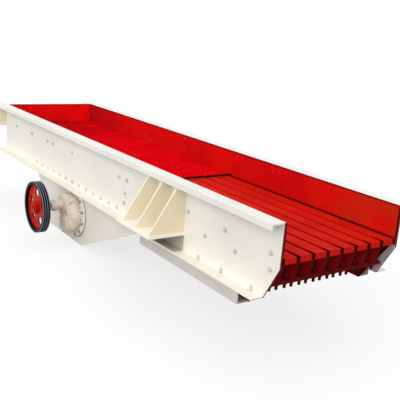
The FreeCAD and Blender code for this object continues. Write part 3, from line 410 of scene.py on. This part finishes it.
# The rear wall's liner is a brighter red than the walls: painted light
rear_red = red_enamel("brighter_red_enamel_as_painted_light_on_rear_plate", ("#EC1114", "#DC0E14"), "rear")
floor_red = red_enamel("red_enamel_on_floor_plates", ("#DE0611", "#D20411"), "pan")
bar_red = bar_enamel("orange_red_enamel_on_bars")
dark_red = shaded_primer("red_primer_with_painted_shade")
cast_cream = casting_enamel("enamel_on_sand_casting", ("#F4F0E6", "#EAE5DA"))
pulley_red = pulley_enamel("enamel_on_cast_pulley")
steel = turned_steel("oiled_turned_steel")

# Finish of each material slot
SLOT_FINISH = {
    "cream_paint": cream, "red_paint": wall_red, "red_bolts": dark_red, "cream_bolts": bolt_cream,
    "housing_paint": cast_cream, "pulley_paint": pulley_red, "machined_steel": steel,
}
# Nodes with a finish of their own, by the start of the name; the last start that fits holds
NODE_FINISH = {
    "side_plate": side_cream, "floor": floor_red, "rear_wall": rear_red, "lower_rail": rail_cream,
    "exciter_plate_r": plate_cream, "exciter_plate_l": plate_cream, "grizzly_bar": bar_red,
    "grizzly_cheek": dark_red, "grizzly_front": dark_red, "grizzly_middle": dark_red,
    "grizzly_rear": dark_red, "front_seat": seat_cream, "rear_seat": seat_cream,
    "front_seat_ribs": rib_cream, "rear_seat_ribs": rib_cream, "housing_bolts": bolt_shaded,
}
for name, node in nodes.items():
    finish = SLOT_FINISH[node.data.materials[0].name]
    for start, own_finish in NODE_FINISH.items():
        if name.startswith(start):
            finish = own_finish
    node.material_slots[0].link = "OBJECT"
    node.material_slots[0].material = finish


# Eased edges of plates and castings
def ease_edges(node, width):
    """Break the sharp edges of a solid, as grinding and paint do."""
    node.modifiers.new("weld", "WELD").merge_threshold = 0.00002
    flat = node.modifiers.new("flat", "DECIMATE")
    flat.decimate_type = "DISSOLVE"
    flat.angle_limit = math.radians(0.5)
    bevel = node.modifiers.new("edges", "BEVEL")
    bevel.width = width
    bevel.segments = 2
    bevel.limit_method = "ANGLE"
    bevel.angle_limit = math.radians(35)
    bevel.harden_normals = True


# Width of the eased edges, by the start of a node's name
EASED = {
    "side_plate": 0.003, "front_seat": 0.003, "rear_seat": 0.003, "lower_rail": 0.003,
    "exciter_plate_r": 0.003, "exciter_plate_l": 0.003, "grizzly_bar": 0.004, "grizzly_cheek": 0.002,
    "floor_liner": 0.002, "rear_plate": 0.002, "exciter_housing": 0.004, "drive_shaft_cover": 0.002,
    "blind_covers": 0.003, "belt_pulley": 0.002,
}
for name, node in nodes.items():
    for start, width in EASED.items():
        if name.startswith(start):
            ease_edges(node, width)


# Modelling helpers
def pick_faces(piece, test):
    """Select faces of a piece in edit mode by a test on each face."""
    bpy.ops.object.mode_set(mode="EDIT")
    bpy.ops.mesh.select_mode(type="FACE")
    bpy.ops.mesh.select_all(action="DESELECT")
    bpy.ops.object.mode_set(mode="OBJECT")
    for face in piece.data.polygons:
        face.select = test(face)
    bpy.ops.object.mode_set(mode="EDIT")


def raise_top(piece, inset, rise):
    """Draw the top cap in and up, which leaves a sloping edge round it."""
    upward = [face for face in piece.data.polygons if face.normal.z > 0.9]
    cap = max(upward, key=lambda face: (round(face.center.z, 5), len(face.vertices))).index
    pick_faces(piece, lambda face: face.index == cap)
    bpy.ops.mesh.inset(thickness=inset)
    bpy.ops.transform.translate(value=(0, 0, rise))
    bpy.ops.object.mode_set(mode="OBJECT")


def standing_cylinder(vertices, radius, depth, base):
    """A cylinder that stands on the height base, over the origin."""
    bpy.ops.object.select_all(action="DESELECT")
    bpy.ops.mesh.primitive_cylinder_add(vertices=vertices, radius=radius, depth=depth,
                                        location=(0, 0, base + depth / 2))
    bpy.ops.object.transform_apply(location=True)
    return bpy.context.object


def join(pieces):
    """Make one object of some pieces."""
    bpy.ops.object.select_all(action="DESELECT")
    for piece in pieces:
        piece.select_set(True)
    bpy.context.view_layer.objects.active = pieces[0]
    bpy.ops.object.join()
    return pieces[0]


def finished(piece, name, finish, body="trough"):
    """Name a piece, paint it and put it on its body."""
    piece.name = name
    piece.data.name = name
    piece.data.materials.clear()
    piece.data.materials.append(finish)
    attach(piece, body)


# Fasteners
def hex_bolt(corner, height, washer_radius, washer_thk):
    """A chamfered hex head on a round washer, pointing up from the origin."""
    washer = standing_cylinder(24, washer_radius, washer_thk * 0.7, 0)
    raise_top(washer, washer_thk * 0.3, washer_thk * 0.3)
    head = standing_cylinder(6, corner, height * 0.85, washer_thk * 0.9)
    raise_top(head, corner * 0.14, height * 0.15)
    return join([washer, head])


def round_head(radius, height):
    """A low round bolt head, pointing up from the origin."""
    head = standing_cylinder(20, radius, height * 0.5, 0)
    raise_top(head, radius * 0.22, height * 0.35)
    raise_top(head, radius * 0.35, height * 0.15)
    return head


def spread(model, spots, direction):
    """Copies of a modelled fastener at some spots, all pointing one way, joined to one piece.

    Each is turned a little further than the last, as tightened bolts are.
    """
    turn_step = 0.35
    lean = Vector(direction).to_track_quat("Z", "Y").to_matrix().to_4x4()
    copies = []
    for number, spot in enumerate(spots):
        copy = model.copy()
        copy.data = model.data.copy()
        scene.collection.objects.link(copy)
        own_turn = Matrix.Rotation(number * turn_step, 4, "Z")
        copy.data.transform(Matrix.Translation(spot) @ lean @ own_turn)
        copies.append(copy)
    return join(copies)


# Bolts of the side wear plates, as height of a row and their places along the trough
LINER_BOLT_ROWS = {
    0.422: (-4.03,),
    0.256: (-4.03, -3.45, -2.91, -2.73, -2.15),
    0.242: (-0.964, -0.790),
    0.104: (-0.819,),
    -0.001: (-0.831,),
    0.233: (0.341, 0.889, 1.467),
    0.100: (0.620, 1.043, 1.477),
    -0.125: (0.545, 0.885, 1.284),
}
# Heads at the discharge end that show inside only, as place along the trough and height
FRONT_HEADS = ((1.521, 0.455), (1.514, 0.295))
# Bolts above this height have a round head inside too
LOWEST_INSIDE = DECK_TOP + 0.05

side_bolt = hex_bolt(corner=0.019, height=0.014, washer_radius=0.024, washer_thk=0.004)
liner_head = round_head(radius=0.017, height=0.006)
for hand, side in SIDES.items():
    outside = []
    inside = []
    for height, row in LINER_BOLT_ROWS.items():
        outside += [(x, side * PLATE_FACE, height) for x in row]
        if height > LOWEST_INSIDE:
            inside += [(x, side * LINER_FACE, height) for x in row]
    inside += [(x, side * LINER_FACE, height) for x, height in FRONT_HEADS]
    finished(spread(side_bolt, outside, (0, side, 0)), f"side_bolts_{hand}", bolt_cream)
    finished(spread(liner_head, inside, (0, -side, 0)), f"liner_bolt_heads_{hand}", wall_red)

# Screws of the bearing covers, six round each shaft, on the flange behind the raised middle
COVER_RAISE = 0.010
COVER_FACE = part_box("blind_covers")[1].y - COVER_RAISE
SCREW_CIRCLE = 0.095
SCREW_COUNT = 6
axes = {joint["name"]: Vector(joint["pos_m"]) for joint in frame["record"]["behaviour"]["joints"]}
cover_screw = hex_bolt(corner=0.0095, height=0.007, washer_radius=0.011, washer_thk=0.002)
for hand, side in SIDES.items():
    spots = []
    for joint in ("drive_spin", "driven_spin"):
        for step in range(SCREW_COUNT):
            angle = 2 * math.pi * (step + 0.5) / SCREW_COUNT
            spots.append((axes[joint].x + SCREW_CIRCLE * math.cos(angle), side * COVER_FACE,
                          axes[joint].z + SCREW_CIRCLE * math.sin(angle)))
    finished(spread(cover_screw, spots, (0, side, 0)), f"cover_screws_{hand}", bolt_cream)
for model in (side_bolt, liner_head, cover_screw):
    bpy.data.objects.remove(model)


# Seal carrier of the drive shaft, a stepped ring in front of the boss, with 2 mm round the shaft
BOSS_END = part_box("drive_shaft_cover")[0].y
CARRIER_SIDES = 48
CARRIER_RADIUS = 0.070
CARRIER_BORE = 0.042
CARRIER_DEPTH = 0.034
NECK_DEPTH = 0.026
NECK_TAPER = 0.0004
SHOULDER = 0.009
CHAMFER = 0.003
BOSS_LAP = 0.001
carrier = standing_cylinder(CARRIER_SIDES, CARRIER_RADIUS, CARRIER_DEPTH, 0)
raise_top(carrier, CHAMFER, CHAMFER)
raise_top(carrier, SHOULDER, 0)
raise_top(carrier, NECK_TAPER, NECK_DEPTH)
raise_top(carrier, CHAMFER, CHAMFER)
raise_top(carrier, CARRIER_RADIUS - CARRIER_BORE - SHOULDER - NECK_TAPER - 2 * CHAMFER, 0)
pick_faces(carrier, lambda face: face.normal.z < -0.9)
bpy.ops.mesh.inset(thickness=CARRIER_RADIUS - CARRIER_BORE)
bpy.ops.object.mode_set(mode="OBJECT")
pick_faces(carrier, lambda face: len(face.vertices) == CARRIER_SIDES)
bpy.ops.mesh.bridge_edge_loops()
bpy.ops.object.mode_set(mode="OBJECT")
bpy.ops.object.shade_smooth_by_angle(angle=math.radians(35))
on_boss = Matrix.Translation((axes["drive_spin"].x, BOSS_END + BOSS_LAP, axes["drive_spin"].z))
carrier.data.transform(on_boss @ Matrix.Rotation(math.radians(90), 4, "X"))
finished(carrier, "seal_carrier", cast_cream)


# Welds
WELD_RADIUS = 0.007
WELD_PITCH = 0.011


def weld_bead(start, end, radius=WELD_RADIUS, pitch=WELD_PITCH):
    """A rippled fillet weld along a corner: one ripple, mirrored and repeated, then closed."""
    start = Vector(start)
    run = Vector(end) - start
    bpy.ops.object.select_all(action="DESELECT")
    bpy.ops.mesh.primitive_cone_add(vertices=8, radius1=radius, radius2=radius * 0.8, depth=pitch / 2,
                                    end_fill_type="NOTHING", location=(0, 0, pitch / 4))
    bpy.ops.object.transform_apply(location=True)
    piece = bpy.context.object
    mirror = piece.modifiers.new("mirror", "MIRROR")
    mirror.use_axis = (False, False, True)
    repeat = piece.modifiers.new("repeat", "ARRAY")
    repeat.count = round(run.length / pitch)
    repeat.use_relative_offset = False
    repeat.use_constant_offset = True
    repeat.constant_offset_displace = (0, 0, pitch)
    repeat.use_merge_vertices = True
    repeat.merge_threshold = 0.0001
    bpy.ops.object.modifier_apply(modifier="mirror")
    bpy.ops.object.modifier_apply(modifier="repeat")
    bpy.ops.object.mode_set(mode="EDIT")
    bpy.ops.mesh.select_all(action="SELECT")
    bpy.ops.mesh.remove_doubles(threshold=0.00005)
    bpy.ops.mesh.fill_holes(sides=8)
    bpy.ops.mesh.normals_make_consistent(inside=False)
    bpy.ops.mesh.faces_shade_smooth()
    bpy.ops.object.mode_set(mode="OBJECT")
    lean = run.to_track_quat("Z", "Y").to_matrix().to_4x4()
    piece.data.transform(Matrix.Translation(start) @ lean @ Matrix.Translation((0, 0, pitch / 2)))
    return piece


# Beads of the seats, ribs, rear corners and rails; one at a seat's end is thinner, to stay on it
RIB_THK = 0.018
RIB_COUNTS = {"front": 3, "rear": 2}
TOE_GAP = 0.014
CORNER_GAP = 0.010
for hand, side in SIDES.items():
    beads = []
    face = side * PLATE_FACE
    for end, count in RIB_COUNTS.items():
        seat_low, seat_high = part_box(f"{end}_seat_{hand}")
        ribs_low, ribs_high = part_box(f"{end}_seat_ribs_{hand}")
        rib_step = (ribs_high.x - RIB_THK - ribs_low.x) / (count - 1)
        seat_top = seat_high.z
        toe = side * (max(abs(seat_low.y), abs(seat_high.y)) - TOE_GAP)
        for number in range(count):
            rib_front = ribs_high.x - number * rib_step
            for x in (rib_front - RIB_THK, rib_front):
                radius = min(WELD_RADIUS, x - seat_low.x - SKIN, seat_high.x - x - SKIN)
                beads.append(weld_bead((x, face, seat_top), (x, face, TOP_FLANGE_UNDER), radius))
                beads.append(weld_bead((x, face, seat_top), (x, toe, seat_top), radius))
        beads.append(weld_bead((seat_low.x, face, seat_top), (seat_high.x, face, seat_top)))
    corner = (REAR_FACE, side * PLATE_INNER)
    corner_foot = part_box("rear_plate")[0].z + CORNER_GAP
    beads.append(weld_bead((*corner, corner_foot), (*corner, TOP_FLANGE_UNDER)))
    rail_low, rail_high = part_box(f"lower_rail_{hand}")
    rail_face = side * max(abs(rail_low.y), abs(rail_high.y))
    beads.append(weld_bead((rail_low.x, rail_face, rail_high.z), (rail_high.x, rail_face, rail_high.z)))
    finished(join(beads), f"weld_beads_{hand}", cream)


# Camera at the photograph's viewing angle
CAMERA_PLACE = Vector((4.8898, -3.8354, 1.8505))
CAMERA_TARGET = Vector((-0.4218, 0.0, 0.0742))
CAMERA_ROLL = math.radians(4.572)
camera = bpy.data.objects.new("camera", bpy.data.cameras.new("camera"))
scene.collection.objects.link(camera)
camera.data.sensor_width = 36
camera.data.lens = 58.648
camera.data.clip_end = 200
aim = (CAMERA_TARGET - CAMERA_PLACE).to_track_quat("-Z", "Y").to_matrix().to_4x4()
camera.matrix_world = Matrix.Translation(CAMERA_PLACE) @ aim @ Matrix.Rotation(CAMERA_ROLL, 4, "Z")
scene.camera = camera
scene.view_settings.view_transform = "Standard"

# Floor, which looks white to the eye and gives the paint a grey light from below
bpy.ops.object.select_all(action="DESELECT")
bpy.ops.mesh.primitive_plane_add(size=60, location=(0, 0, cad_box[0].z - 0.005))
floor = bpy.context.object
floor.name = "floor"
bpy.ops.object.transform_apply(location=True)

paper, tree, shader, place = start_material("pale_paper_floor", specular=0.0, Roughness=0.9)
by_eye = add(tree, "LightPath", {}, "Is Camera Ray")
by_gloss = by_eye.node.outputs["Is Glossy Ray"]
shade = add(tree, "Mix", {0: by_eye, 6: linear("#8A8784"), 7: linear("#FCFCFB")}, 2, data_type="RGBA")
tree.links.new(shade, shader.inputs["Base Color"])
seen = add(tree, "Math", {0: by_eye, 1: by_gloss}, operation="MAXIMUM")
far = add(tree, "VectorMath", {0: place}, "Value", operation="LENGTH")
fade = add(tree, "MapRange", {"Value": far, "From Min": 4.0, "From Max": 8.0, "To Min": 0.76})
white = add(tree, "Math", {0: fade, 1: seen}, operation="MULTIPLY")
glow = add(tree, "Emission", {"Strength": 1.0})
blend = add(tree, "MixShader", {0: white, 1: shader.outputs[0], 2: glow})
tree.links.new(blend, tree.get_output_node("ALL").inputs["Surface"])
floor.data.materials.append(paper)

# Sky, white where it is seen and softer as light
world = bpy.data.worlds.new("white_studio")
scene.world = world
world.use_nodes = True
tree = world.node_tree
tree.nodes.clear()
by_eye = add(tree, "LightPath", {}, "Is Camera Ray")
by_gloss = by_eye.node.outputs["Is Glossy Ray"]
through_glass = by_eye.node.outputs["Is Transmission Ray"]
seen = add(tree, "Math", {0: by_eye, 1: by_gloss}, operation="MAXIMUM")
seen = add(tree, "Math", {0: seen, 1: through_glass}, operation="MAXIMUM")
ambient = add(tree, "Background", {"Color": linear("#F4F6FF"), "Strength": 0.78})
backdrop = add(tree, "Background", {"Color": (1.0, 1.0, 1.0, 1.0), "Strength": 1.0})
sky = add(tree, "MixShader", {0: seen, 1: ambient, 2: backdrop})
tree.links.new(sky, tree.nodes.new("ShaderNodeOutputWorld").inputs["Surface"])

# Lamps, as the direction they stand in, their strength and their tint
LAMP_SPREAD = math.radians(60)
LAMPS = {
    "key": ((0.25, -0.88, 0.40), 1.6, "#FFFEFA"),
    "top": ((0.10, 0.10, 1.0), 0.35, "#FFFFFF"),
    "warm_fill": ((0.95, -0.15, 0.28), 0.7, "#FFCE8A"),
}
for name, (direction, strength, tint) in LAMPS.items():
    lamp = bpy.data.objects.new(name, bpy.data.lights.new(name, "SUN"))
    scene.collection.objects.link(lamp)
    lamp.data.energy = strength
    lamp.data.angle = LAMP_SPREAD
    lamp.data.color = linear(tint)[:3]
    lamp.rotation_euler = Vector(direction).to_track_quat("Z", "Y").to_euler()
